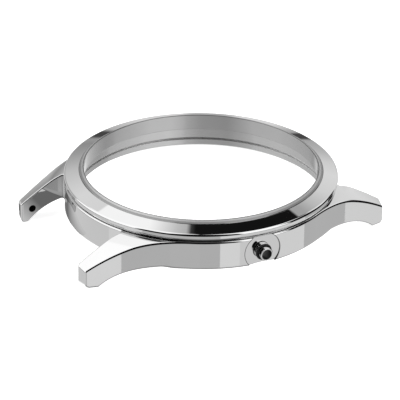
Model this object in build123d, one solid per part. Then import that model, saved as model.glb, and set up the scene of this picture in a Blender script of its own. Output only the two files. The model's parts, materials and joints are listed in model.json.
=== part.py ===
from build123d import *
import math
import os

# Empty wrist-watch case, in millimetres.
# +X points out of the crown tube (3 o'clock), +Y to 12 o'clock, +Z up through the bezel.
# The origin is on the case axis, in the bottom plane of the round body.

# Fits, and how far a cutting shape runs past what it cuts
press_clearance = 0.01
seat_clearance = 0.02
cut_overrun = 1.0

# Case middle, the round body: its size, its walls and the steps in them
case_radius = 19.9
case_wall = 1.6
shoulder_height = 4.31
neck_wall = 1.25
neck_rise = 0.04
neck_undercut = 0.06
back_recess_step = 1.1
back_recess_depth = 0.93
back_bevel_width = 0.35
back_bevel_height = 0.42
snap_groove_height = 1.91
snap_groove_width = 0.2
snap_groove_depth = 0.2

# Lugs: a turned top and a turned underside, each an arc given by how far it reaches past
# the case and how far it falls below the shoulder or the land
lug_gap = 20.1
lug_tip_width = 2.0
lug_projection = 4.4
lug_tip_setback = 0.42
lug_side_start_share = 0.5025
top_start_slope = 10.0
top_bend_reach = 2.5
top_bend_fall = 1.13
top_end_reach = 7.0
top_end_fall = 4.21
under_start_rise = 0.35
under_start_slope = 6.0
under_end_reach = 5.4
lug_tip_drop = 2.45
lug_heel_round = 0.6
lug_corner_round = 0.3
lug_root_round = 0.32

# Spring-bar holes, blind, one in the inner face of each lug
bar_hole_radius = 0.55
bar_hole_depth = 1.3
bar_hole_inset = 1.8
bar_hole_drop = 0.45

# Crown recess, crown tube and its seal
crown_height = 1.93
crown_recess_radius = 2.74
crown_recess_depth = 0.28
tube_collar_radius = 1.2
tube_press_radius = 0.92
tube_bore_radius = 0.75
tube_nose_radius = 0.96
tube_setback = 0.2
tube_step_reach = 0.05
tube_nose_length = 1.11
tube_end_bevel = 0.06
seal_section_radius = 0.14

# Bezel, with its flange, slope, raised lip and skirt
bezel_overhang = 0.1
bezel_flange_rise = 0.21
bezel_band_height = 0.96
bezel_slope_rise = 0.6
bezel_edge_round = 0.32
bezel_base_round = 0.35
lip_width = 0.63
lip_rise = 0.38
lip_flat = 0.2
lip_groove_width = 0.12
lip_groove_depth = 0.07
skirt_wall = 1.19
skirt_drop = 0.19
bezel_inner_bevel = 0.08

# Radii that follow from the sizes above
main_bore_radius = case_radius - case_wall
neck_outer_radius = main_bore_radius + neck_wall
shoulder_radius = neck_outer_radius - neck_undercut
back_recess_radius = main_bore_radius + back_recess_step
back_mouth_radius = back_recess_radius + back_bevel_width
snap_groove_radius = main_bore_radius + snap_groove_depth
bezel_radius = case_radius + bezel_overhang
skirt_radius = main_bore_radius - press_clearance
bezel_opening_radius = skirt_radius - skirt_wall
bezel_slope_radius = bezel_opening_radius + lip_width

# Heights that follow
neck_top = shoulder_height + neck_rise
flange_base = shoulder_height + bezel_flange_rise
band_top = flange_base + bezel_band_height
slope_top = band_top + bezel_slope_rise
lip_top = slope_top + lip_rise
skirt_base = shoulder_height - skirt_drop

# Places along the crown tube
recess_floor_x = case_radius - crown_recess_depth
tube_start_x = main_bore_radius + tube_setback
tube_step_x = case_radius + tube_step_reach
tube_end_x = tube_step_x + tube_nose_length

# Corners of the lugs
half_gap = lug_gap / 2
tip_inner = (half_gap, case_radius + lug_projection)
tip_outer = (half_gap + lug_tip_width, case_radius + lug_projection - lug_tip_setback)
bar_hole_y = case_radius + lug_projection - bar_hole_inset

# How a cylinder is placed so that it grows from its base
from_the_base = (Align.CENTER, Align.CENTER, Align.MIN)

# The plane of the turned outlines, drawn with their radius across and their height up
upright = Plane(origin=(0, 0, 0), x_dir=(1, 0, 0), z_dir=(0, -1, 0))


def direction(slope_degrees):
    """Unit direction that runs outwards and falls by the given slope."""
    angle = math.radians(slope_degrees)
    return (math.cos(angle), -math.sin(angle))


def ring(outer_radius, inner_radius, low, high):
    """A plain ring on the case axis between two heights."""
    outline = Polyline((inner_radius, 0, low), (outer_radius, 0, low), (outer_radius, 0, high),
                       (inner_radius, 0, high), close=True)
    return revolve(make_face(outline), axis=Axis.Z)


def turned(face):
    """A solid turned about the case axis from a face drawn with radii and heights."""
    return revolve(upright * face, axis=Axis.Z)


def case_turning():
    """The turned blank that gives the lugs their sloping top and hollow underside."""
    top_start = (shoulder_radius, shoulder_height)
    top_bend = (case_radius + top_bend_reach, shoulder_height - top_bend_fall)
    top_end = (case_radius + top_end_reach, shoulder_height - top_end_fall)
    rim = (case_radius + top_end_reach + cut_overrun, shoulder_height - top_end_fall)
    rim_low = (case_radius + top_end_reach + cut_overrun, -lug_tip_drop)
    under_end = (case_radius + under_end_reach, -lug_tip_drop)
    under_start = (case_radius, under_start_rise)
    crown = TangentArc(top_start, top_bend, tangent=direction(top_start_slope))
    fall = TangentArc(top_bend, top_end, tangent=crown % 1)
    under = TangentArc(under_start, under_end, tangent=direction(under_start_slope))
    flat_parts = [
        Polyline((0, 0), (0, shoulder_height), top_start),
        Polyline(top_end, rim, rim_low, under_end),
        Polyline(under_start, (case_radius, 0), (0, 0)),
    ]
    return turned(make_face(Curve() + [crown, fall, under] + flat_parts))


def lug_plan():
    """One lug seen from above, from the case axis out to its tip."""
    side_y = case_radius * lug_side_start_share
    side_x = math.sqrt(case_radius**2 - side_y**2)
    side = TangentArc((side_x, side_y), tip_outer, tangent=(-side_y, side_x))
    rest = Polyline(tip_outer, tip_inner, (half_gap, side_y), (side_x, side_y))
    plan = make_face(side + rest)
    outer_corner = plan.vertices().sort_by_distance((*tip_outer, 0))[0]
    return fillet(outer_corner, lug_corner_round)


def root_fillet_plan():
    """The small web that rounds the corner between a lug's inner face and the case wall."""
    centre_x = half_gap - lug_root_round
    reach = case_radius + lug_root_round
    centre_y = math.sqrt(reach**2 - centre_x**2)
    share = case_radius / reach
    touch = (centre_x * share, centre_y * share)
    inner_share = main_bore_radius / reach
    deep = (centre_x * inner_share, centre_y * inner_share)
    web = Polyline((half_gap, centre_y), (half_gap, deep[1]), deep, touch)
    hollow = RadiusArc(touch, (half_gap, centre_y), lug_root_round)
    return make_face(web + hollow)


def heel_cutter():
    """What comes off one lug's tip to round the edge between its end face and its underside."""
    along = Vector(lug_tip_width, -lug_tip_setback, 0).normalized()
    outward = Vector(lug_tip_setback, lug_tip_width, 0).normalized()
    corner = Vector(*tip_inner, -lug_tip_drop)
    section = Plane(origin=corner - along * cut_overrun, x_dir=outward, z_dir=along)
    side = lug_heel_round + cut_overrun
    wedge = Pos(cut_overrun, -cut_overrun) * Rectangle(side, side, align=(Align.MAX, Align.MIN))
    wedge -= Pos(-lug_heel_round, lug_heel_round) * Circle(lug_heel_round)
    face_width = math.hypot(lug_tip_width, lug_tip_setback)
    return section * extrude(wedge, face_width + 2 * cut_overrun)


def back_recess():
    """What comes out of the underside for the case back: a wide step with a bevelled mouth."""
    outline = Polyline(
        (0, -cut_overrun),
        (back_mouth_radius, -cut_overrun),
        (back_mouth_radius, 0),
        (back_recess_radius, back_bevel_height),
        (back_recess_radius, back_recess_depth),
        (0, back_recess_depth),
        close=True,
    )
    return turned(make_face(outline))


def crown_recess():
    """What comes out of the flank for the crown: a round flat-bottomed recess."""
    floor_plane = Plane(origin=(recess_floor_x, 0, crown_height), z_dir=(1, 0, 0))
    depth = crown_recess_depth + cut_overrun
    return floor_plane * Cylinder(crown_recess_radius, depth, align=from_the_base)


def tube_hole():
    """What comes out of the case wall for the crown tube, from inside the bore outwards."""
    start = main_bore_radius - cut_overrun
    start_plane = Plane(origin=(start, 0, crown_height), z_dir=(1, 0, 0))
    length = recess_floor_x - start
    return start_plane * Cylinder(tube_press_radius + press_clearance, length, align=from_the_base)


def case_middle():
    """Round body with four lugs, bored through, with its neck, recesses and holes."""
    quarter = lug_plan() + root_fillet_plan()
    upper = quarter + mirror(quarter, about=Plane.YZ)
    plan = Circle(case_radius) + upper + mirror(upper, about=Plane.XZ)
    blank = Pos(0, 0, -lug_tip_drop) * extrude(plan, lug_tip_drop + shoulder_height)
    body = blank & case_turning()
    heel = heel_cutter()
    for cutter in (heel, mirror(heel, about=Plane.YZ)):
        body -= cutter
        body -= mirror(cutter, about=Plane.XZ)
    body += ring(neck_outer_radius, main_bore_radius, shoulder_height - neck_rise, neck_top)
    body -= ring(main_bore_radius, 0, -cut_overrun, neck_top + cut_overrun)
    body -= back_recess()
    body -= ring(snap_groove_radius, 0, snap_groove_height, snap_groove_height + snap_groove_width)
    body -= crown_recess()
    body -= tube_hole()
    hole = Rot(0, 90, 0) * Cylinder(bar_hole_radius, 2 * bar_hole_depth)
    for side_x in (-half_gap, half_gap):
        for side_y in (-bar_hole_y, bar_hole_y):
            body -= Pos(side_x, side_y, -bar_hole_drop) * hole
    return body


def bezel():
    """Sloped ring with a rounded edge band, a raised lip and a skirt that presses into the bore."""
    slope_fall = bezel_slope_rise / (bezel_radius - bezel_slope_radius)
    outline = Polyline(
        (bezel_opening_radius + bezel_inner_bevel, skirt_base),
        (skirt_radius, skirt_base),
        (skirt_radius, flange_base),
        (bezel_radius, flange_base),
        (bezel_radius, band_top),
        (bezel_slope_radius + lip_groove_width, slope_top - lip_groove_width * slope_fall),
        (bezel_slope_radius + lip_groove_width / 2, slope_top - lip_groove_depth),
        (bezel_slope_radius, slope_top),
        (bezel_opening_radius + lip_flat, lip_top - bezel_inner_bevel / 2),
        (bezel_opening_radius + bezel_inner_bevel, lip_top),
        (bezel_opening_radius, lip_top - bezel_inner_bevel),
        (bezel_opening_radius, skirt_base + bezel_inner_bevel),
        close=True,
    )
    face = make_face(outline)
    for height, size in ((flange_base, bezel_base_round), (band_top, bezel_edge_round)):
        corner = face.vertices().sort_by_distance((bezel_radius, height, 0))[0]
        face = fillet(corner, size)
    return turned(face)


def bezel_gasket():
    """Flat seal between the top of the neck and the underside of the bezel's flange."""
    inner = main_bore_radius + seat_clearance
    outer = neck_outer_radius - seat_clearance
    return ring(outer, inner, neck_top, flange_base)


def crown_tube():
    """Tube pressed into the case wall up to its collar, with a narrower nose outside."""
    outline = Polyline(
        (tube_start_x, tube_bore_radius),
        (tube_start_x, tube_press_radius),
        (recess_floor_x, tube_press_radius),
        (recess_floor_x, tube_collar_radius),
        (tube_step_x, tube_collar_radius),
        (tube_step_x, tube_nose_radius),
        (tube_end_x - tube_end_bevel, tube_nose_radius),
        (tube_end_x, tube_nose_radius - tube_end_bevel),
        (tube_end_x, tube_bore_radius),
        close=True,
    )
    solid = revolve(make_face(outline), axis=Axis.X)
    return Pos(0, 0, crown_height) * solid


def crown_tube_seal():
    """Round-section rubber ring on the tube's nose, lying against its collar."""
    ring_radius = tube_nose_radius + seal_section_radius
    seal = Torus(ring_radius, seal_section_radius)
    centre_x = tube_step_x + seal_section_radius
    return Pos(centre_x, 0, crown_height) * Rot(0, 90, 0) * seal


pieces = {
    "case_middle": case_middle,
    "bezel_gasket": bezel_gasket,
    "bezel": bezel,
    "crown_tube": crown_tube,
    "crown_tube_seal": crown_tube_seal,
}

os.makedirs("parts", exist_ok=True)
for name, make in pieces.items():
    solid = make()
    export_step(solid, f"parts/{name}.step")
    print(name, round(solid.volume, 3), "cubic mm")
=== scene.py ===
import json
import math
from collections import namedtuple

import bmesh
import bpy
import numpy as np
from mathutils import Matrix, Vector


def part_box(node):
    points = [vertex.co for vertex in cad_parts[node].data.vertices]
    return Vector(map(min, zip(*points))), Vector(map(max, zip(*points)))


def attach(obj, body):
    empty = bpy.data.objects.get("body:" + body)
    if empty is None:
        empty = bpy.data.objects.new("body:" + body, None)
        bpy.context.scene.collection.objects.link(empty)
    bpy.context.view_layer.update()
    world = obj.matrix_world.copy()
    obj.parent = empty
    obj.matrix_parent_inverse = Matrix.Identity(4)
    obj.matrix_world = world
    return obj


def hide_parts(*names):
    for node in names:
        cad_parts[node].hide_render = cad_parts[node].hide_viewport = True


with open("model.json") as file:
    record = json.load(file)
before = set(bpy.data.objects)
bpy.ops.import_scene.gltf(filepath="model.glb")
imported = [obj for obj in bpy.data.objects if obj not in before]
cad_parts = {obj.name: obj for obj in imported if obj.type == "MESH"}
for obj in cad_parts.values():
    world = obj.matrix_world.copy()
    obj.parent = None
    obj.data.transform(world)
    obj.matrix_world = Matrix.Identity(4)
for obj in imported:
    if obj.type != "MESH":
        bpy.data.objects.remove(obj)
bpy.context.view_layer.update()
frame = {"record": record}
mounts = {mount["name"]: mount for mount in frame["record"]["mounts"]}


# Case middle
# One block of steel: round body, four turned-down lugs and the main bore. It is turned on a
# lathe, its lugs milled and its holes drilled, then polished to a mirror outside, while the
# bore keeps its fine turned finish.

case_low, case_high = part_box("case_middle")
case_radius = 0.0199
shoulder_height = 0.00431
neck_radius = 0.01955
under_radius = 0.01976
mouth_radius = 0.01975
bevel_height = 0.00042
neck_top = case_high.z
bore_radius = mounts["main_bore"]["dims"]["r_mm"] / 1000
recess_radius = mounts["case_back_seat"]["dims"]["r_mm"] / 1000
recess_depth = mounts["case_back_seat"]["dims"]["length_mm"] / 1000
groove_low, groove_high, groove_depth = 0.00191, 0.00211, 0.0002
groove_round = 0.0001
mouth_edge = 0.00001
bore_edge = 0.00012
lug_inner_x = 0.01005
lug_tip_width = 0.002
lug_tip_setback = 0.00042
lug_low = case_low.z
heel_round = 0.0006
outer_corner_round = 0.0003
inner_corner_round = 0.0003
root_round = 0.00032
side_start_share = 0.5025
top_rim = 0.00022
under_rim = 0.00009
under_rim_height = 0.00025
rim_support = 0.00002
turning_edge = 0.00005
under_blend = 0.0006
under_rise = 0.00035
under_end_radius = 0.0253
shoulder_start, shoulder_slope = 0.01949, 10.0
under_slope = 6.0
lug_bend = (0.0224, 0.00318)
lug_fall = (0.0269, 0.0001)

# How finely each stretch of the outline is divided
body_steps, side_steps, root_row = 50, 50, 4
lug_steps, corner_steps, tip_steps = 44, 6, 12
row_steps = root_row + corner_steps + tip_steps
root_steps, gap_steps, rim_steps, wall_steps = 12, 48, 5, 8
fine_steps = 4000
tip_crowding = 0.4


def arc_height(start, slope_degrees, end):
    """Height by radius along an arc that leaves start with a slope and meets end, and its end slope."""
    slope = math.radians(slope_degrees)
    normal = np.array([-math.sin(slope), -math.cos(slope)])
    reach = np.subtract(end, start)
    radius = reach @ reach / (2 * reach @ normal)
    centre = np.add(start, normal * radius)
    end_slope = math.degrees(math.atan((end[0] - centre[0]) / (end[1] - centre[1])))

    def height(r):
        return centre[1] + np.sqrt(np.maximum(radius**2 - (r - centre[0]) ** 2, 0))

    return height, end_slope


shoulder_arc, bend_slope = arc_height((shoulder_start, shoulder_height), shoulder_slope, lug_bend)
fall_arc, _ = arc_height(lug_bend, bend_slope, lug_fall)
under_arc, _ = arc_height((case_radius, under_rise), under_slope, (under_end_radius, lug_low))

# The lug's tip seen from above: its two corners, and the directions along and across its end
tip_inner = np.array([lug_inner_x, case_high.y])
tip_outer = tip_inner + np.array([lug_tip_width, -lug_tip_setback])
tip_along = (tip_outer - tip_inner) / np.linalg.norm(tip_outer - tip_inner)
tip_inward = np.array([tip_along[1], -tip_along[0]])


def top_height(plan):
    """Height of the turned shoulder and lug tops above points of the plan."""
    r = np.hypot(plan[..., 0], plan[..., 1])
    return np.where(r < lug_bend[0], shoulder_arc(r), fall_arc(r))


def under_height(plan):
    """Height of the land, the hollow undersides of the lugs and their rounded heels."""
    r = np.hypot(plan[..., 0], plan[..., 1])
    share = np.clip((r - case_radius) / under_blend, 0, 1)
    share = share * share * (3 - 2 * share)
    height = share * under_arc(np.minimum(r, under_end_radius))
    from_tip = np.clip((plan - tip_inner) @ tip_inward, 0, heel_round)
    rise = heel_round - np.sqrt(heel_round**2 - (heel_round - from_tip) ** 2)
    return np.maximum(height, lug_low + rise)


def on_arc(centre, radius, angles):
    """Points of the plan on an arc, by its centre, its radius and their angles."""
    return np.stack([centre[0] + radius * np.cos(angles), centre[1] + radius * np.sin(angles)], -1)


def spread(first, last, steps):
    """Even values from first up to last, without last."""
    return first + (last - first) * np.arange(steps) / steps


# The arcs of the outline: the lug's hollow side, its two tip corners and the round at its root
side_start = case_radius * np.array([math.sqrt(1 - side_start_share**2), side_start_share])
side_normal = side_start / case_radius
side_chord = tip_outer - side_start
side_radius = side_chord @ side_chord / (2 * side_chord @ side_normal)
side_centre = side_start + side_normal * side_radius
start_turn = math.atan2(side_start[1], side_start[0])
root_y = math.sqrt((case_radius + root_round) ** 2 - (lug_inner_x - root_round) ** 2)
root_centre = np.array([lug_inner_x - root_round, root_y])
root_turn = math.atan2(root_centre[1], root_centre[0])
root_ray = math.atan2(root_y, lug_inner_x + top_rim + rim_support)
inward_line = tip_inner + tip_inward * inner_corner_round
inner_share = (lug_inner_x + inner_corner_round - inward_line[0]) / tip_along[0]
inner_corner = inward_line + tip_along * inner_share
outward_line = tip_inner + tip_inward * outer_corner_round
offset = outward_line - side_centre
along = offset @ tip_along
reach = (side_radius + outer_corner_round) ** 2
outer_corner = outward_line + tip_along * (-along - math.sqrt(along**2 - offset @ offset + reach))
tip_turn = math.atan2(-tip_inward[1], -tip_inward[0])
side_first = math.atan2(-side_normal[1], -side_normal[0]) % math.tau
side_last = math.atan2(*(outer_corner - side_centre)[::-1]) % math.tau

# Where the outline's columns lie on the lug's side, so that they stand on rays from the axis
fine_side = np.linspace(side_first, side_last, fine_steps)
fine_points = on_arc(side_centre, side_radius, fine_side)
fine_turns = np.arctan2(fine_points[:, 1], fine_points[:, 0])
side_turns = spread(start_turn, root_ray, side_steps)
side_columns = np.interp(side_turns, fine_turns, fine_side)
ray_column = np.interp(root_ray, fine_turns, fine_side)
lug_shares = np.linspace(0, 1, lug_steps + 1)
lug_shares = lug_shares * (1 + tip_crowding - tip_crowding * lug_shares)


def outline(inset):
    """A quarter of the outline moved inwards by an inset, from 3 o'clock round to 12 o'clock."""
    tip_start = outer_corner - tip_inward * (outer_corner_round - inset)
    tip_end = inner_corner - tip_inward * (inner_corner_round - inset)
    inner_y = root_y + (inner_corner[1] - root_y) * lug_shares[:0:-1]
    side_angles = ray_column + (side_last - ray_column) * lug_shares[:-1]
    outer_turns = spread(side_last - math.pi, tip_turn, corner_steps)
    return np.concatenate([
        on_arc((0, 0), case_radius - inset, spread(0, start_turn, body_steps)),
        on_arc(side_centre, side_radius + inset, side_columns),
        on_arc(side_centre, side_radius + inset, side_angles),
        on_arc(outer_corner, outer_corner_round - inset, outer_turns),
        tip_start + (tip_end - tip_start) * spread(0, 1, tip_steps)[:, None],
        on_arc(inner_corner, inner_corner_round - inset, spread(tip_turn, math.pi, corner_steps)),
        np.stack([np.full(lug_steps, lug_inner_x + inset), inner_y], -1),
        on_arc(root_centre, root_round + inset, spread(0, root_turn - math.pi, root_steps)),
        on_arc((0, 0), case_radius - inset, np.linspace(root_turn, math.pi / 2, gap_steps + 1)),
    ])


ray_index = body_steps + side_steps
outer_index = ray_index + lug_steps + corner_steps // 2
inner_index = outer_index + corner_steps + tip_steps
root_index = inner_index + corner_steps // 2 + lug_steps
neck_turns = np.concatenate([
    spread(0, start_turn, body_steps),
    side_turns,
    spread(root_ray, root_turn, root_steps),
    np.linspace(root_turn, math.pi / 2, gap_steps + 1),
])


def plan_grids(inset, inner_radius):
    """The quarter's plan from an inner ring out to the inset outline, as three grids of points."""
    edge = outline(inset)
    ring = on_arc((0, 0), inner_radius, neck_turns)
    root, ray_end, ray_start = edge[root_index], edge[ray_index], ring[ray_index]
    root_share = np.linalg.norm(root - ray_start) / np.linalg.norm(ray_end - ray_start)
    near = np.linspace(0, 1, root_row + 1)[:, None]
    far = np.linspace(0, 1, row_steps - root_row + 1)[1:, None]
    rows = np.concatenate([near * root_share, root_share + far * (1 - root_share)])[:, None]
    body = ring[:ray_index] + (edge[:ray_index] - ring[:ray_index]) * rows
    ray = np.concatenate([ray_start + (root - ray_start) * near, root + (ray_end - root) * far])
    body = np.concatenate([body, ray[:, None]], 1)
    gap = ring[ray_index:] + (edge[root_index:] - ring[ray_index:]) * near[:, None]
    low = ray[root_row:]
    high = edge[outer_index:inner_index + 1][::-1]
    right = edge[ray_index:outer_index + 1, None]
    left = edge[inner_index:root_index + 1, None][::-1]
    u = np.linspace(0, 1, len(low))[None, :, None]
    steps = np.linalg.norm(np.diff(left, axis=0), axis=-1)
    v = np.concatenate([[[0]], np.cumsum(steps, 0)])[..., None] / steps.sum()
    lug = (1 - v) * low + v * high + (1 - u) * left + u * right
    lug -= (1 - v) * ((1 - u) * low[0] + u * low[-1]) + v * ((1 - u) * high[0] + u * high[-1])
    return [body, gap, lug]


def raised(plan, height):
    """Points in space from points of the plan and their heights."""
    return np.concatenate([plan, np.asarray(height)[..., None]], -1)


def rim_rows():
    """Rows of the outer skin: over the top edge, down the flank and under the lower edge."""
    edge = outline(0)
    plans = [outline(top_rim + rim_support), outline(top_rim)]
    rows = [raised(plan, top_height(plan)) for plan in plans]
    for turn in np.linspace(0, math.pi / 2, rim_steps + 1)[1:]:
        plan = outline(top_rim * (1 - math.sin(turn)))
        rows.append(raised(plan, top_height(plan) - top_rim * (1 - math.cos(turn))))
    high = top_height(edge) - top_rim - rim_support
    low = under_height(edge) + under_rim_height + rim_support
    for share in np.linspace(0, 1, wall_steps + 1):
        rows.append(raised(edge, high + (low - high) * share))
    for turn in np.linspace(math.pi / 2, 0, rim_steps + 1):
        plan = outline(under_rim * (1 - math.sin(turn)))
        rows.append(raised(plan, under_height(plan) + under_rim_height * (1 - math.cos(turn))))
    plan = outline(under_rim + rim_support)
    rows.append(raised(plan, under_height(plan)))
    return np.array(rows)


def rounded(corners, closed=True, arc_steps=5, support=rim_support):
    """A turned outline with its corners rounded: each corner is radius, height and its round."""
    points, count = [], len(corners)
    for index, (r, z, size) in enumerate(corners):
        here = np.array([r, z])
        inner = closed or 0 < index < count - 1
        if size == 0 or not inner:
            points.append(here)
            continue
        before = np.array(corners[index - 1][:2]) - here
        after = np.array(corners[(index + 1) % count][:2]) - here
        before_length, after_length = np.linalg.norm(before), np.linalg.norm(after)
        before, after = before / before_length, after / after_length
        half = math.acos(np.clip(before @ after, -1, 1)) / 2
        cut = size / math.tan(half)
        middle = (before + after) / np.linalg.norm(before + after)
        centre = here + middle * size / math.sin(half)
        if cut + support < before_length / 2:
            points.append(here + before * (cut + support))
        for step in np.linspace(0, 1, arc_steps + 1):
            spoke = (here + before * cut - centre) * (1 - step) + (here + after * cut - centre) * step
            points.append(centre + spoke * size / np.linalg.norm(spoke))
        if cut + support < after_length / 2:
            points.append(here + after * (cut + support))
    return np.array(points)


def bore_rows():
    """Rows of the turned inside, from the land on the back up to the top of the neck."""
    corners = [
        (under_radius, 0, 0),
        (mouth_radius, 0, mouth_edge),
        (recess_radius, bevel_height, turning_edge),
        (recess_radius, recess_depth, turning_edge),
        (bore_radius, recess_depth, bore_edge),
        (bore_radius, groove_low, groove_round),
        (bore_radius + groove_depth, groove_low, groove_round),
        (bore_radius + groove_depth, groove_high, groove_round),
        (bore_radius, groove_high, groove_round),
        (bore_radius, neck_top, turning_edge),
        (neck_radius, neck_top, turning_edge),
        (neck_radius, float(shoulder_arc(neck_radius)), 0),
    ]
    points = rounded(corners, closed=False)
    rows = points[:, :1, None] * on_arc((0, 0), 1, neck_turns)
    return raised(rows, np.broadcast_to(points[:, 1:], rows.shape[:2]))


def closed_mesh(name, grids, mirrors):
    """One closed mesh from grids of points repeated by mirroring, its seams merged."""
    points, faces, first = [], [], 0
    for flip in mirrors:
        for grid in grids:
            index = first + np.arange(grid.shape[0] * grid.shape[1]).reshape(grid.shape[:2])
            quads = np.stack([index[:-1, :-1], index[:-1, 1:], index[1:, 1:], index[1:, :-1]], -1)
            points.append(grid.reshape(-1, 3) * (*flip, 1))
            faces.append(quads.reshape(-1, 4))
            first += index.size
    mesh = bpy.data.meshes.new(name)
    mesh.from_pydata(np.concatenate(points).tolist(), [], np.concatenate(faces).tolist())
    made = bpy.data.objects.new(name, mesh)
    bpy.context.collection.objects.link(made)
    merge_seams(made)
    return made


def merge_seams(made, distance=1e-6):
    """Merges a mesh's doubled points and turns all its faces outwards."""
    work = bmesh.new()
    work.from_mesh(made.data)
    bmesh.ops.remove_doubles(work, verts=work.verts, dist=distance)
    bmesh.ops.recalc_face_normals(work, faces=work.faces)
    loose = sum(len(edge.link_faces) != 2 for edge in work.edges)
    if loose:
        print(made.name, "has", loose, "edges that don't join two faces")
    work.to_mesh(made.data)
    work.free()


grids = [raised(plan, top_height(plan)) for plan in plan_grids(top_rim + rim_support, neck_radius)]
under_grids = plan_grids(under_rim + rim_support, under_radius)
grids += [raised(plan, under_height(plan)) for plan in under_grids]
grids += [rim_rows(), bore_rows()]
case_middle = closed_mesh("polished_case_middle", grids, [(1, 1), (-1, 1), (1, -1), (-1, -1)])

# The drilled places: crown recess, tube hole and the four spring-bar holes
crown_mount = mounts["crown_tube_bore"]
crown_height = crown_mount["pos_m"][2]
crown_recess_radius = 0.00274
crown_recess_floor = 0.01962
tube_hole_radius = 0.00093
tube_step_x = 0.01995
drill_past = 0.001
bar_holes = [mount for name, mount in mounts.items() if name.startswith("bar_hole")]


def drill(name, radius, start, depth, way=1, segments=96):
    """A cutting rod along X, by its radius, the end it starts from, its length and its way."""
    work = bmesh.new()
    bmesh.ops.create_cone(
        work, cap_ends=True, segments=segments, radius1=radius, radius2=radius, depth=depth,
    )
    turn = Matrix.Rotation(math.pi / 2, 4, "Y")
    place = Matrix.Translation((start[0] + way * depth / 2, start[1], start[2]))
    bmesh.ops.transform(work, matrix=place @ turn, verts=work.verts)
    mesh = bpy.data.meshes.new(name)
    work.to_mesh(mesh)
    work.free()
    made = bpy.data.objects.new(name, mesh)
    bpy.context.collection.objects.link(made)
    return made


tube_start = bore_radius - drill_past
tube_depth = tube_step_x - bore_radius + drill_past
recess_start = (crown_recess_floor, 0, crown_height)
drills = [
    drill("recess_drill", crown_recess_radius, recess_start, 2 * drill_past, segments=192),
    drill("tube_drill", tube_hole_radius, (tube_start, 0, crown_height), tube_depth),
]
for mount in bar_holes:
    x, y, z = mount["pos_m"]
    way = 1 if x > 0 else -1
    start = (way * (lug_inner_x - drill_past), y, z)
    length = mount["dims"]["length_mm"] / 1000 + drill_past
    drills.append(drill("bar_drill", mount["dims"]["r_mm"] / 1000, start, length, way, 64))
for cutter in drills:
    cut = case_middle.modifiers.new("drilled", "BOOLEAN")
    cut.operation = "DIFFERENCE"
    cut.solver = "EXACT"
    cut.object = cutter


def as_plain_mesh(made):
    """Replaces an object's mesh by the outcome of its modifiers and takes these off."""
    seen = made.evaluated_get(bpy.context.evaluated_depsgraph_get())
    mesh = bpy.data.meshes.new_from_object(seen)
    made.modifiers.clear()
    made.data = mesh


def smooth(made, degrees=35):
    """Shades smooth, but for edges that turn by more than an angle."""
    made.data.shade_smooth()
    made.data.set_sharp_from_angle(angle=math.radians(degrees))


as_plain_mesh(case_middle)
for cutter in drills:
    bpy.data.objects.remove(cutter)
smooth(case_middle)


def node(tree, kind, inputs=None, **settings):
    """A node with its settings, its inputs given as values or as sockets to read."""
    made = tree.nodes.new(kind)
    for name, value in settings.items():
        setattr(made, name, value)
    for key, value in (inputs or {}).items():
        if isinstance(value, bpy.types.NodeSocket):
            tree.links.new(value, made.inputs[key])
        else:
            made.inputs[key].default_value = value
    return made


def maths(tree, operation, *values):
    """The outcome of one sum of values or sockets."""
    return node(tree, "ShaderNodeMath", dict(enumerate(values)), operation=operation).outputs[0]


def smooth_step(tree, value, low, high, first=0.0, last=1.0):
    """A value that eases from first to last as another runs from low to high."""
    inputs = {"Value": value, 1: low, 2: high, 3: first, 4: last}
    return node(tree, "ShaderNodeMapRange", inputs, interpolation_type="SMOOTHSTEP").outputs[0]


def from_noise(tree, noise, low, high):
    """A value that runs from low to high as a noise runs over its usual range."""
    noise_low, noise_high = 0.3, 0.7
    inputs = {"Value": noise, 1: noise_low, 2: noise_high, 3: low, 4: high}
    return node(tree, "ShaderNodeMapRange", inputs).outputs[0]


def from_axis(tree, place):
    """How far places lie from the Z axis."""
    flat = node(tree, "ShaderNodeVectorMath", {0: place, 1: (1.0, 1.0, 0.0)}, operation="MULTIPLY")
    away = node(tree, "ShaderNodeVectorMath", {0: flat.outputs[0]}, operation="LENGTH")
    return away.outputs["Value"]


def about_axis(tree, place, axis):
    """Places as they lie round another axis, given by the shift and the turn that lay it on Z."""
    shift, turn = axis
    inputs = {"Vector": place, "Location": shift, "Rotation": turn}
    return node(tree, "ShaderNodeMapping", inputs).outputs[0]


def shader_group(name, inputs, outputs):
    """An empty shader group with named inputs and outputs, each a name and a kind of value."""
    tree = bpy.data.node_groups.new(name, "ShaderNodeTree")
    for side, sockets in (("INPUT", inputs), ("OUTPUT", outputs)):
        for title, kind in sockets.items():
            tree.interface.new_socket(title, in_out=side, socket_type="NodeSocket" + kind)
    return tree, tree.nodes.new("NodeGroupInput"), tree.nodes.new("NodeGroupOutput")


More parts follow.
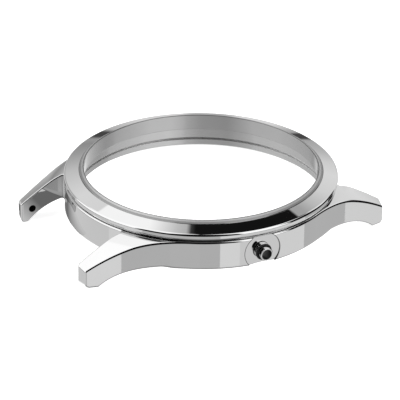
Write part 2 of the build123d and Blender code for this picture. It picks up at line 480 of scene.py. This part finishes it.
def polish_marks():
    """Traces of polishing: a faint cloudy haze and hair-fine lines that run round the case."""
    darkest_haze = 0.97
    line_stretch, line_low, line_high = 24.0, 0.56, 0.74
    tree, given, out = shader_group(
        "Polish marks",
        {"Vector": "Vector", "Haze Size": "Float", "Line Size": "Float"},
        {"Tone": "Float", "Haze": "Float", "Height": "Float"},
    )
    place = given.outputs["Vector"]
    haze_scale = maths(tree, "DIVIDE", 1.0, given.outputs["Haze Size"])
    haze = node(tree, "ShaderNodeTexNoise", {"Vector": place, "Scale": haze_scale, "Detail": 3.0})
    stretched = {0: place, 1: (1.0, 1.0, line_stretch)}
    flat = node(tree, "ShaderNodeVectorMath", stretched, operation="MULTIPLY").outputs[0]
    line_scale = maths(tree, "DIVIDE", 1.0, given.outputs["Line Size"])
    lines = node(tree, "ShaderNodeTexNoise", {"Vector": flat, "Scale": line_scale, "Detail": 2.0})
    thin = smooth_step(tree, lines.outputs[0], line_low, line_high)
    tree.links.new(from_noise(tree, haze.outputs[0], darkest_haze, 1.0), out.inputs["Tone"])
    tree.links.new(haze.outputs[0], out.inputs["Haze"])
    tree.links.new(thin, out.inputs["Height"])
    return tree


def lathe_marks():
    """Turned finish inside a bore: fine rings across the wall, and a mask of where it is."""
    tree, given, out = shader_group(
        "Lathe marks",
        {"Vector": "Vector", "Bore Radius": "Float", "Ring Width": "Float"},
        {"Inside": "Float", "Rings": "Float"},
    )
    away = from_axis(tree, given.outputs["Vector"])
    depth = maths(tree, "SUBTRACT", given.outputs["Bore Radius"], away)
    inside = maths(tree, "GREATER_THAN", depth, 0.0)
    split = node(tree, "ShaderNodeSeparateXYZ", {0: given.outputs["Vector"]})
    run = maths(tree, "ADD", split.outputs["Z"], away)
    turns = maths(tree, "DIVIDE", run, given.outputs["Ring Width"])
    noise = {"W": turns, "Scale": 1.0, "Detail": 2.0}
    rings = node(tree, "ShaderNodeTexNoise", noise, noise_dimensions="1D")
    tree.links.new(inside, out.inputs["Inside"])
    tree.links.new(rings.outputs[0], out.inputs["Rings"])
    return tree


def painted_shade_rings():
    """A ring round the axis: a mask of it, and the painted shade that darkens its colour there."""
    tree, given, out = shader_group(
        "Ring of painted shade",
        {"Vector": "Vector", "Line Radius": "Float", "Line Width": "Float",
         "Light Left": "Float", "From": "Float", "To": "Float"},
        {"Shade": "Float", "Mask": "Float"},
    )
    place = given.outputs["Vector"]
    along = node(tree, "ShaderNodeSeparateXYZ", {0: place}).outputs["Z"]
    started = maths(tree, "GREATER_THAN", along, given.outputs["From"])
    unended = maths(tree, "LESS_THAN", along, given.outputs["To"])
    past = maths(tree, "SUBTRACT", from_axis(tree, place), given.outputs["Line Radius"])
    begun = maths(tree, "GREATER_THAN", past, 0.0)
    within = maths(tree, "LESS_THAN", past, given.outputs["Line Width"])
    ring = maths(tree, "MULTIPLY", begun, within)
    mask = maths(tree, "MULTIPLY", ring, maths(tree, "MULTIPLY", started, unended))
    left = {"Value": mask, 3: 1.0, 4: given.outputs["Light Left"]}
    shade = node(tree, "ShaderNodeMapRange", left)
    tree.links.new(shade.outputs[0], out.inputs["Shade"])
    tree.links.new(mask, out.inputs["Mask"])
    return tree


polish_group = polish_marks()
lathe_group = lathe_marks()
shade_ring_group = painted_shade_rings()
# A ring of painted shade and roughness: how much light its colour leaves, and its own roughness
Line = namedtuple("Line", "radius width light_left roughness start end axis", defaults=(None,))


def group_node(tree, group, values):
    """A node that runs a shader group, its inputs given by name as values or sockets."""
    return node(tree, "ShaderNodeGroup", values, node_tree=group)


def steel(name, polish_roughness, turned_roughness, inside_painted_shade, bore_limit, lines=(), axis=None):
    """Polished stainless steel that turns to a satin lathe finish inside a radius, its colour there
    darkened by painted shade.
    """
    bright, hazy = (0.62, 0.62, 0.62, 1.0), (0.31, 0.31, 0.3162, 1.0)
    haze_size, scratch_size, ring_width = 0.004, 0.0009, 0.00006
    polish_spread, turned_spread = 0.3, 0.15
    scratch_height, ring_height = 0.02, 0.4
    bump_strength, bump_distance = 0.15, 0.000004
    material = bpy.data.materials.new(name)
    material.use_nodes = True
    tree = material.node_tree
    shader = tree.nodes["Principled BSDF"]
    shader.inputs["Metallic"].default_value = 1.0
    place = node(tree, "ShaderNodeTexCoord").outputs["Object"]
    if axis:
        place = about_axis(tree, place, axis)
    sizes = {"Haze Size": haze_size, "Line Size": scratch_size}
    polish = group_node(tree, polish_group, {"Vector": place, **sizes})
    turned = {"Bore Radius": bore_limit, "Ring Width": ring_width}
    lathe = group_node(tree, lathe_group, {"Vector": place, **turned})
    inside = lathe.outputs["Inside"]
    colours = {"Factor": polish.outputs["Tone"], "A": hazy, "B": bright}
    tint = node(tree, "ShaderNodeMix", colours, data_type="RGBA").outputs[2]
    # Painted shade: the colour inside the radius is darkened by a fixed factor
    shade = node(tree, "ShaderNodeMapRange", {"Value": inside, 3: 1.0, 4: inside_painted_shade}).outputs[0]
    masks = []
    for line in lines:
        spot = about_axis(tree, place, line.axis) if line.axis else place
        marks = group_node(tree, shade_ring_group, {
            "Vector": spot, "Line Radius": line.radius, "Line Width": line.width,
            "Light Left": line.light_left, "From": line.start, "To": line.end,
        })
        shade = maths(tree, "MULTIPLY", shade, marks.outputs["Shade"])
        masks.append((marks.outputs["Mask"], line.roughness))
    tint = node(tree, "ShaderNodeVectorMath", {0: tint, "Scale": shade}, operation="SCALE")
    smoothest, roughest = polish_roughness * (1 - polish_spread), polish_roughness * (1 + polish_spread)
    haze = from_noise(tree, polish.outputs["Haze"], smoothest, roughest)
    finest, coarsest = turned_roughness * (1 - turned_spread), turned_roughness * (1 + turned_spread)
    rings = from_noise(tree, lathe.outputs["Rings"], finest, coarsest)
    rough = node(tree, "ShaderNodeMix", {"Factor": inside, "A": haze, "B": rings})
    for mask, roughness in masks:
        rough = node(tree, "ShaderNodeMix", {"Factor": mask, "A": rough.outputs[0], "B": roughness})
    scratches = maths(tree, "MULTIPLY", polish.outputs["Height"], scratch_height)
    ridges = maths(tree, "MULTIPLY", lathe.outputs["Rings"], ring_height)
    fine = node(tree, "ShaderNodeMix", {"Factor": inside, "A": scratches, "B": ridges})
    relief = {"Height": fine.outputs[0], "Strength": bump_strength, "Distance": bump_distance}
    bump = node(tree, "ShaderNodeBump", relief)
    tree.links.new(tint.outputs[0], shader.inputs["Base Color"])
    tree.links.new(rough.outputs[0], shader.inputs["Roughness"])
    tree.links.new(bump.outputs[0], shader.inputs["Normal"])
    return material


# The groove in the bore is duller than its wall; a thin ring of painted shade runs round the
# recess's edge, and painted shade darkens the bottoms of the blind holes
quarter = math.pi / 2
skin = 0.00001
crown_axis = ((crown_height, 0.0, 0.0), (0.0, -quarter, 0.0))
recess_edge_width, recess_edge_start, recess_edge_end = 0.00012, 0.0195, 0.03
groove_end = 0.004
hole_before, hole_after, hole_over, hole_centre = 0.0006, 0.0007, 0.00005, -0.0001
groove_line = Line(
    bore_radius + skin / 2, groove_depth + skin, light_left=1.0, roughness=0.5, start=0.0, end=groove_end,
)
recess_painted_shade = Line(
    crown_recess_radius - skin, recess_edge_width, light_left=0.35, roughness=0.1,
    start=recess_edge_start, end=recess_edge_end, axis=crown_axis,
)
case_lines = [groove_line, recess_painted_shade]
# Painted shade inside each blind spring-bar hole
for mount in bar_holes:
    x, y, z = mount["pos_m"]
    side = math.copysign(1.0, x)
    hole_axis = ((side * z, -y, 0.0), (0.0, -side * quarter, 0.0))
    hole_width = mount["dims"]["r_mm"] / 1000 + hole_over - hole_centre
    case_lines.append(Line(
        hole_centre, hole_width, light_left=0.2, roughness=0.5,
        start=abs(x) - hole_before, end=abs(x) + hole_after, axis=hole_axis,
    ))
case_steel = steel(
    "Body steel", polish_roughness=0.035, turned_roughness=0.12, inside_painted_shade=1.0,
    bore_limit=recess_radius + 0.0001, lines=case_lines,
)
case_middle.data.materials.clear()
case_middle.data.materials.append(case_steel)
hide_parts("case_middle")
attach(case_middle, "root")


# Bezel gasket
# A flat ring of black rubber, moulded, that lies on the top of the neck. The bezel's flange
# presses it flat and it keeps water out.

gasket_low, gasket_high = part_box("bezel_gasket")
gasket_play = 0.00002


def turning_tree():
    """Geometry nodes that turn a closed outline of radii and heights into a solid ring."""
    tree = bpy.data.node_groups.new("Turn about the axis", "GeometryNodeTree")
    tree.is_modifier = True
    inputs = {"Outline": "Geometry", "Segments": "Int", "Merge Distance": "Float", "Finish": "Material"}
    for title, kind in inputs.items():
        tree.interface.new_socket(title, in_out="INPUT", socket_type="NodeSocket" + kind)
    tree.interface.new_socket("Ring", in_out="OUTPUT", socket_type="NodeSocketGeometry")
    given, out = tree.nodes.new("NodeGroupInput"), tree.nodes.new("NodeGroupOutput")
    outline_in, segments = given.outputs["Outline"], given.outputs["Segments"]
    size = node(tree, "GeometryNodeAttributeDomainSize", {"Geometry": outline_in}, component="MESH")
    count = size.outputs["Point Count"]
    across = maths(tree, "ADD", segments, 1.0)
    counts = {"Vertices X": maths(tree, "ADD", count, 1.0), "Vertices Y": across}
    grid = node(tree, "GeometryNodeMeshGrid", counts)
    index = node(tree, "GeometryNodeInputIndex").outputs[0]
    row = maths(tree, "FLOOR", maths(tree, "DIVIDE", maths(tree, "ADD", index, 0.5), across))
    column = maths(tree, "SUBTRACT", index, maths(tree, "MULTIPLY", row, across))
    corner = maths(tree, "FLOORED_MODULO", maths(tree, "ADD", row, 0.25), count)
    corner_place = {
        "Geometry": outline_in,
        "Value": node(tree, "GeometryNodeInputPosition").outputs[0],
        "Index": maths(tree, "FLOOR", corner),
    }
    place = node(tree, "GeometryNodeSampleIndex", corner_place, data_type="FLOAT_VECTOR")
    split = node(tree, "ShaderNodeSeparateXYZ", {0: place.outputs["Value"]})
    angle = maths(tree, "MULTIPLY", maths(tree, "DIVIDE", column, segments), math.tau)
    x = maths(tree, "MULTIPLY", split.outputs["X"], maths(tree, "COSINE", angle))
    y = maths(tree, "MULTIPLY", split.outputs["X"], maths(tree, "SINE", angle))
    spot = node(tree, "ShaderNodeCombineXYZ", {"X": x, "Y": y, "Z": split.outputs["Z"]})
    bent = {"Geometry": grid.outputs["Mesh"], "Position": spot.outputs[0]}
    turned = node(tree, "GeometryNodeSetPosition", bent)
    joined = {"Geometry": turned.outputs[0], "Distance": given.outputs["Merge Distance"]}
    merged = node(tree, "GeometryNodeMergeByDistance", joined)
    real = node(tree, "GeometryNodeRealizeInstances", {"Geometry": merged.outputs[0]})
    finish = {"Geometry": real.outputs[0], "Material": given.outputs["Finish"]}
    dressed = node(tree, "GeometryNodeSetMaterial", finish)
    tree.links.new(dressed.outputs[0], out.inputs["Ring"])
    return tree


turning = turning_tree()


def turned_ring(name, points, segments, material, place=None, merge_distance=1e-7):
    """A turned piece from a closed outline, made a plain mesh and put in its place."""
    mesh = bpy.data.meshes.new(name)
    edges = [(index, (index + 1) % len(points)) for index in range(len(points))]
    mesh.from_pydata([(r, 0, z) for r, z in points], edges, [])
    made = bpy.data.objects.new(name, mesh)
    bpy.context.collection.objects.link(made)
    modifier = made.modifiers.new("Turned", "NODES")
    sockets = {item.name: item.identifier for item in turning.interface.items_tree}
    modifier.node_group = turning
    modifier[sockets["Segments"]] = segments
    modifier[sockets["Merge Distance"]] = merge_distance
    modifier[sockets["Finish"]] = material
    as_plain_mesh(made)
    if place:
        made.data.transform(place)
    merge_seams(made)
    smooth(made)
    return made


def rubber(name, grain_size):
    """Black moulded rubber: matt, finely grained and a little dusty."""
    clean, dusty = (0.006, 0.006, 0.007, 1.0), (0.016, 0.016, 0.016, 1.0)
    smoothest, roughest = 0.42, 0.6
    cloud_share, relief_share, bump_strength = 0.1, 0.2, 0.3
    material = bpy.data.materials.new(name)
    material.use_nodes = True
    tree = material.node_tree
    shader = tree.nodes["Principled BSDF"]
    place = node(tree, "ShaderNodeTexCoord").outputs["Object"]
    grain_noise = {"Vector": place, "Scale": 1 / grain_size, "Detail": 4.0}
    grain = node(tree, "ShaderNodeTexNoise", grain_noise).outputs[0]
    cloud_noise = {"Vector": place, "Scale": cloud_share / grain_size, "Detail": 2.0}
    cloud = node(tree, "ShaderNodeTexNoise", cloud_noise).outputs[0]
    shade = node(tree, "ShaderNodeMix", {"Factor": cloud, "A": clean, "B": dusty}, data_type="RGBA")
    rough = from_noise(tree, grain, smoothest, roughest)
    relief = {"Height": grain, "Strength": bump_strength, "Distance": grain_size * relief_share}
    bump = node(tree, "ShaderNodeBump", relief)
    tree.links.new(shade.outputs[2], shader.inputs["Base Color"])
    tree.links.new(rough, shader.inputs["Roughness"])
    tree.links.new(bump.outputs[0], shader.inputs["Normal"])
    return material


gasket_rubber = rubber("Gasket rubber", 0.00008)
gasket_inner = bore_radius + gasket_play
gasket_corners = [
    (gasket_inner, gasket_low.z, turning_edge),
    (gasket_high.x, gasket_low.z, turning_edge),
    (gasket_high.x, gasket_high.z, turning_edge),
    (gasket_inner, gasket_high.z, turning_edge),
]
gasket = turned_ring("flat_bezel_gasket", rounded(gasket_corners, arc_steps=3), 360, gasket_rubber)
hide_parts("bezel_gasket")
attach(gasket, "root")


# Bezel
# A turned steel ring with a rounded edge band, a sloped face, a groove and a raised lip round
# its opening. Its skirt is pressed into the bore. The slope is polished, lip and inside satin.

bezel_low, bezel_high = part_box("bezel")
bezel_radius = bezel_high.x
opening_radius = mounts["crystal_seat"]["dims"]["r_mm"] / 1000
flange_base = gasket_high.z
band_height, slope_rise = 0.00096, 0.0006
band_top = flange_base + band_height
slope_top = band_top + slope_rise
lip_width, lip_flat, lip_drop = 0.00063, 0.0002, 0.00004
lip_groove_width, lip_groove_depth = 0.00012, 0.00007
slope_radius = opening_radius + lip_width
slope_fall = (slope_top - band_top) / (bezel_radius - slope_radius)
skirt_play = 0.00001
skirt_radius = bore_radius - skirt_play
skirt_edge, inner_corner_edge, lip_foot_edge, groove_edge = 0.00006, 0.00002, 0.00004, 0.00003
base_round, band_round, lip_round = 0.00035, 0.00032, 0.00012
bezel_corners = [
    (opening_radius, bezel_low.z, skirt_edge),
    (skirt_radius, bezel_low.z, skirt_edge),
    (skirt_radius, flange_base, inner_corner_edge),
    (bezel_radius, flange_base, base_round),
    (bezel_radius, band_top, band_round),
    (slope_radius + lip_groove_width, slope_top - lip_groove_width * slope_fall, groove_edge),
    (slope_radius + lip_groove_width / 2, slope_top - lip_groove_depth, inner_corner_edge),
    (slope_radius, slope_top, lip_foot_edge),
    (opening_radius + lip_flat, bezel_high.z - lip_drop, lip_round),
    (opening_radius, bezel_high.z, skirt_edge),
]

# Painted shade on the lip, from its inner edge outwards: a dark edge line, a lightly darkened ring and a
# darker ring, both rougher, and a dark groove
lip_edge = opening_radius + 0.00015
lip_middle = opening_radius + 0.0004
line_start = opening_radius + 0.000003
span = {"start": 0.003, "end": 0.008}
bezel_shade_lines = [
    Line(line_start, lip_edge - opening_radius, light_left=0.27, roughness=0.3, **span),
    Line(lip_edge, lip_middle - lip_edge, light_left=0.85, roughness=0.45, **span),
    Line(lip_middle, slope_radius - lip_middle, light_left=0.52, roughness=0.45, **span),
    Line(slope_radius, lip_groove_width, light_left=0.4, roughness=0.1, **span),
]
# The bezel's inside is also made a little darker by painted shade
bezel_steel = steel(
    "Bezel steel", polish_roughness=0.022, turned_roughness=0.13, inside_painted_shade=0.92,
    bore_limit=slope_radius, lines=bezel_shade_lines,
)
bezel = turned_ring("polished_bezel", rounded(bezel_corners, arc_steps=7), 720, bezel_steel)
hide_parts("bezel")
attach(bezel, "root")


# Crown tube
# A small turned steel tube, pressed into the case wall up to its collar, which sits on the
# floor of the crown recess. The winding stem would run through it. Its bore is left rough.

tube_low, tube_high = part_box("crown_tube")
tube_bore_radius = crown_mount["dims"]["r_mm"] / 1000
tube_nose_radius = mounts["crown_tube_nose"]["dims"]["r_mm"] / 1000
onto_crown = Matrix.Translation((0, 0, crown_height)) @ Matrix.Rotation(quarter, 4, "Y")
tube_press_radius = tube_hole_radius - skin
collar_radius = tube_high.y
tube_edge, collar_edge, nose_edge, tube_corner_edge = 0.00004, 0.00005, 0.00007, 0.00002
tube_corners = [
    (tube_bore_radius, tube_low.x, tube_edge),
    (tube_press_radius, tube_low.x, tube_edge),
    (tube_press_radius, crown_recess_floor, tube_corner_edge),
    (collar_radius, crown_recess_floor, tube_edge),
    (collar_radius, tube_step_x, collar_edge),
    (tube_nose_radius, tube_step_x, tube_corner_edge),
    (tube_nose_radius, tube_high.x, nose_edge),
    (tube_bore_radius, tube_high.x, tube_edge),
]
# The tube's bore is painted nearly black: painted shade of the deep narrow hole
tube_steel = steel(
    "Tube steel", polish_roughness=0.05, turned_roughness=0.45, inside_painted_shade=0.12,
    bore_limit=tube_bore_radius + 0.00003, axis=crown_axis,
)
tube = turned_ring("stepped_crown_tube", rounded(tube_corners), 160, tube_steel, onto_crown)
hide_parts("crown_tube")
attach(tube, "root")


# Crown tube seal
# A round-section rubber ring, moulded and rolled onto the tube's nose against the collar. A
# crown would close over it.

seal_low, seal_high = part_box("crown_tube_seal")
section_radius = (seal_high.x - seal_low.x) / 2
section_centre = (tube_nose_radius + section_radius, seal_low.x + section_radius)
seal_corners = on_arc(section_centre, section_radius, spread(0, math.tau, 24))
seal_rubber = rubber("Seal rubber", 0.00005)
seal = turned_ring("round_tube_seal", seal_corners, 120, seal_rubber, onto_crown)
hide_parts("crown_tube_seal")
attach(seal, "root")


# Camera
# A long lens a little above the case, looking at the crown side from between 4 and 5 o'clock.

view_azimuth, view_elevation, view_roll = map(math.radians, (63.389, 27.169, 0.805))
view_distance = 0.41607
view_focal_pixels, view_offset_pixels, view_pixels = 2835.98, (0.54, 3.259), 400
sensor_width = 36
view_target = (0, 0, 0.00025)
back = np.array([
    math.sin(view_azimuth) * math.cos(view_elevation),
    -math.cos(view_azimuth) * math.cos(view_elevation),
    math.sin(view_elevation),
])
level_right = np.array([math.cos(view_azimuth), math.sin(view_azimuth), 0])
level_up = np.cross(level_right, -back)
rolled_right = math.cos(view_roll) * level_right + math.sin(view_roll) * level_up
rolled_up = -math.sin(view_roll) * level_right + math.cos(view_roll) * level_up
camera_data = bpy.data.cameras.new("Camera")
camera_data.sensor_width = sensor_width
camera_data.lens = sensor_width * view_focal_pixels / view_pixels
camera_data.shift_x = -view_offset_pixels[0] / view_pixels
camera_data.shift_y = view_offset_pixels[1] / view_pixels
camera_data.clip_start, camera_data.clip_end = 0.01, 10
camera = bpy.data.objects.new("Camera", camera_data)
bpy.context.collection.objects.link(camera)
turn = Matrix([[*row] for row in np.stack([rolled_right, rolled_up, back], 1)]).to_4x4()
camera.matrix_world = Matrix.Translation(back * view_distance + view_target) @ turn
bpy.context.scene.camera = camera


# Studio
# A white table and a white room with soft lights, in which dark flags give polished steel its
# black bands. Directions are read as degrees to the right of the camera's view and above level.


def card_group():
    """A mask of one card of the studio, by its middle, its half sizes and its soft edge."""
    tree, given, out = shader_group(
        "Studio card",
        {"Across": "Float", "Above": "Float", "Middle Across": "Float", "Middle Above": "Float",
         "Half Width": "Float", "Half Height": "Float", "Softness": "Float"},
        {"Mask": "Float"},
    )
    soft = given.outputs["Softness"]
    names = (("Across", "Middle Across", "Half Width"), ("Above", "Middle Above", "Half Height"))
    masks = []
    for way, middle, half in names:
        gap = maths(tree, "SUBTRACT", given.outputs[way], given.outputs[middle])
        gap = maths(tree, "ABSOLUTE", maths(tree, "WRAP", gap, 180.0, -180.0))
        low = maths(tree, "SUBTRACT", given.outputs[half], soft)
        high = maths(tree, "ADD", given.outputs[half], soft)
        masks.append(smooth_step(tree, gap, low, high, 1.0, 0.0))
    tree.links.new(maths(tree, "MULTIPLY", *masks), out.inputs["Mask"])
    return tree


world = bpy.data.worlds.new("Studio")
bpy.context.scene.world = world
world.use_nodes = True
room = world.node_tree
card_tree = card_group()
brightest, flag = 1.6, 0.01
sight = node(room, "ShaderNodeTexCoord").outputs["Generated"]
faced = node(
    room, "ShaderNodeVectorRotate", {"Vector": sight, "Angle": -view_azimuth}, rotation_type="Z_AXIS",
)
axes = node(room, "ShaderNodeSeparateXYZ", {0: faced.outputs[0]})
across = maths(room, "DEGREES", maths(room, "ARCTAN2", axes.outputs["X"], axes.outputs["Y"]))
above = maths(room, "DEGREES", maths(room, "ARCSINE", axes.outputs["Z"]))
behind = maths(room, "ABSOLUTE", across)


def tones(value, limits, stops, how="LINEAR"):
    """Light by a direction in degrees, from a few stops of degrees and tone."""
    low, high = limits
    share = node(room, "ShaderNodeMapRange", {"Value": value, 1: low, 2: high})
    ramp = node(room, "ShaderNodeValToRGB", {0: share.outputs[0]})
    ramp.color_ramp.interpolation = how
    elements = ramp.color_ramp.elements
    while len(elements) < len(stops):
        elements.new(0.5)
    for element, (degrees, tone) in zip(elements, stops):
        element.position = (degrees - low) / (high - low)
        element.color = (tone / brightest,) * 3 + (1.0,)
    return maths(room, "MULTIPLY", ramp.outputs[0], brightest)


def blend(share, first, second):
    return node(room, "ShaderNodeMix", {"Factor": share, "A": first, "B": second}).outputs[0]


def step(value, low, high):
    return smooth_step(room, value, low, high)


def card(light, tone, middle, half, softness):
    """Lays a card of one tone over the light that lies behind it."""
    made = group_node(room, card_tree, {
        "Across": across, "Above": above, "Middle Across": middle[0], "Middle Above": middle[1],
        "Half Width": half[0], "Half Height": half[1], "Softness": softness,
    })
    return blend(made.outputs["Mask"], light, tone)


# The walls that the case faces, from low to high, with a dark flag at the right
wall_limits, round_limits = (-20, 60), (-180, 180)
left_wall = tones(
    above, wall_limits,
    [(-12, 0.86), (-1, 0.87), (2, 0.66), (10, 0.38), (15, 0.5), (23, 0.79), (35, 1.06), (60, 1.0)],
)
right_wall = tones(
    above, wall_limits,
    [(-12, 0.9), (0, 0.91), (3, 0.54), (7, 0.53), (12, 0.68), (17, 0.92), (23, 1.05), (32, 0.98),
     (38.5, 0.76), (42, 0.56)],
)
far_wall = tones(above, wall_limits, [(-12, 0.9), (2, 0.82), (6, 0.95), (12, 1.06), (60, 1.0)])
walls = blend(step(across, -4, 5), left_wall, right_wall)
walls = blend(step(across, 21, 25), walls, far_wall)
walls = blend(step(across, 42, 47), walls, flag)

# The ceiling: light at the left and behind, and the flag that makes the bezel's black band
ceiling = tones(
    across, round_limits,
    [(-180, 1.5), (-14, 1.45), (-10.5, 1.11), (-6.7, 0.8), (-2.95, 0.64), (-2.8, flag), (62, flag),
     (70, brightest), (180, brightest)],
)
ceiling_tilt, ceiling_low, ceiling_high = 0.03, 43.4, 44.2
tilted = maths(room, "SUBTRACT", above, maths(room, "MULTIPLY", across, ceiling_tilt))
light = blend(step(tilted, ceiling_low, ceiling_high), walls, ceiling)
light = card(light, tone=0.55, middle=(0.7, -4.5), half=(1.8, 1.0), softness=0.6)
light = card(light, tone=0.08, middle=(-8.5, 5.6), half=(1.6, 1.7), softness=0.9)
light = card(light, tone=0.08, middle=(8.3, 5.2), half=(1.6, 1.4), softness=0.6)
light = card(light, tone=brightest, middle=(58, 34), half=(13, 12), softness=6.0)

# The camera's side of the room: dark up to a bright ceiling, with a light panel at each side
camera_side = tones(above, (-90, 90), [(-90, flag), (42, flag), (47, brightest), (90, brightest)])
light = blend(step(behind, 58, 68), light, camera_side)
light = card(light, tone=brightest, middle=(126, 20), half=(21, 32), softness=3.0)
light = card(light, tone=brightest, middle=(-95, 20), half=(33, 32), softness=3.0)
light = blend(maths(room, "MULTIPLY", step(behind, 146, 154), step(above, 30, 40)), light, flag)

# The table as the case sees it: round the outside, through the opening, and far below
outside_light = tones(
    across, round_limits,
    [(-180, 0.68), (-131, 0.96), (-98, 0.86), (-33, 0.74), (-8, 1.0), (19, 0.66), (81, 0.98),
     (113, 0.9), (146, 1.02), (163, 0.66)],
    "CONSTANT",
)
outside_light = card(outside_light, tone=0.2, middle=(-28, -27), half=(7, 8), softness=5.0)
inside_light = tones(
    across, round_limits,
    [(-180, 0.42), (-155, 0.36), (-134, 0.62), (-95, 0.69), (-55, 0.53), (-36, 0.45), (-16, 0.95),
     (10, 1.05), (29, 0.75), (69, 0.43), (108, 0.66), (128, 0.86), (148, 0.86), (167, 0.6), (180, 0.42)],
)
table_light = blend(step(above, -26.9, -26.5), outside_light, inside_light)
table_light = card(table_light, tone=0.17, middle=(-4, -27), half=(11, 8), softness=6.0)
below_light = blend(step(behind, 60, 80), brightest, 0.3)
table_light = blend(step(above, -42, -34), below_light, table_light)
light = blend(step(above, -22, -19), table_light, light)
rays = node(room, "ShaderNodeLightPath")
seen = blend(rays.outputs["Is Camera Ray"], light, 1.0)
studio = room.nodes["Background"]
room.links.new(seen, studio.inputs["Color"])
studio.inputs["Strength"].default_value = 1.0


def flat_square(name, half_size, place):
    """A flat square of the studio with a matt material of its own."""
    mesh = bpy.data.meshes.new(name)
    work = bmesh.new()
    bmesh.ops.create_grid(work, x_segments=1, y_segments=1, size=half_size)
    bmesh.ops.translate(work, vec=place, verts=work.verts)
    work.to_mesh(mesh)
    work.free()
    made = bpy.data.objects.new(name, mesh)
    bpy.context.collection.objects.link(made)
    material = bpy.data.materials.new(name)
    material.use_nodes = True
    shader = material.node_tree.nodes["Principled BSDF"]
    shader.inputs["Specular IOR Level"].default_value = 0.0
    made.data.materials.append(material)
    return made, material.node_tree, shader


# A white paper table, a little brighter to the camera than its light makes it
paper_glow = 0.75
white_table, sheet, paper_shader = flat_square("white_table", 1.5, (0, 0, case_low.z))
paper_shader.inputs["Base Color"].default_value = (0.8, 0.8, 0.8, 1.0)
paper_shader.inputs["Roughness"].default_value = 0.9
paper_shader.inputs["Emission Color"].default_value = (1.0, 1.0, 1.0, 1.0)
paper_rays = node(sheet, "ShaderNodeLightPath")
glow = maths(sheet, "MULTIPLY", paper_rays.outputs["Is Camera Ray"], paper_glow)
sheet.links.new(glow, paper_shader.inputs["Emission Strength"])
white_table.visible_glossy = False

# A sheet of painted shadow, seen only by reflections: the shade that the case throws on the table between
# its left lugs, as its polished sides see it
shade_place = (-0.008, -0.018, case_low.z + 0.00003)
shade_near_y, shade_far_y, shade_near_tone, shade_far_tone = -0.0235, -0.0195, 0.8, 0.2
painted_table_shadow, dim, dim_shader = flat_square("painted_table_shadow", 0.006, shade_place)
dim_shader.inputs["Base Color"].default_value = (0.0, 0.0, 0.0, 1.0)
dim_shader.inputs["Emission Strength"].default_value = 1.0
spot = node(dim, "ShaderNodeSeparateXYZ", {0: node(dim, "ShaderNodeTexCoord").outputs["Object"]})
fall = {"Value": spot.outputs["Y"], 1: shade_near_y, 2: shade_far_y, 3: shade_near_tone, 4: shade_far_tone}
fade = node(dim, "ShaderNodeMapRange", fall)
dim.links.new(fade.outputs[0], dim_shader.inputs["Emission Color"])
painted_table_shadow.visible_camera = False
painted_table_shadow.visible_diffuse = False
painted_table_shadow.visible_shadow = False

bpy.context.scene.view_settings.view_transform = "Standard"
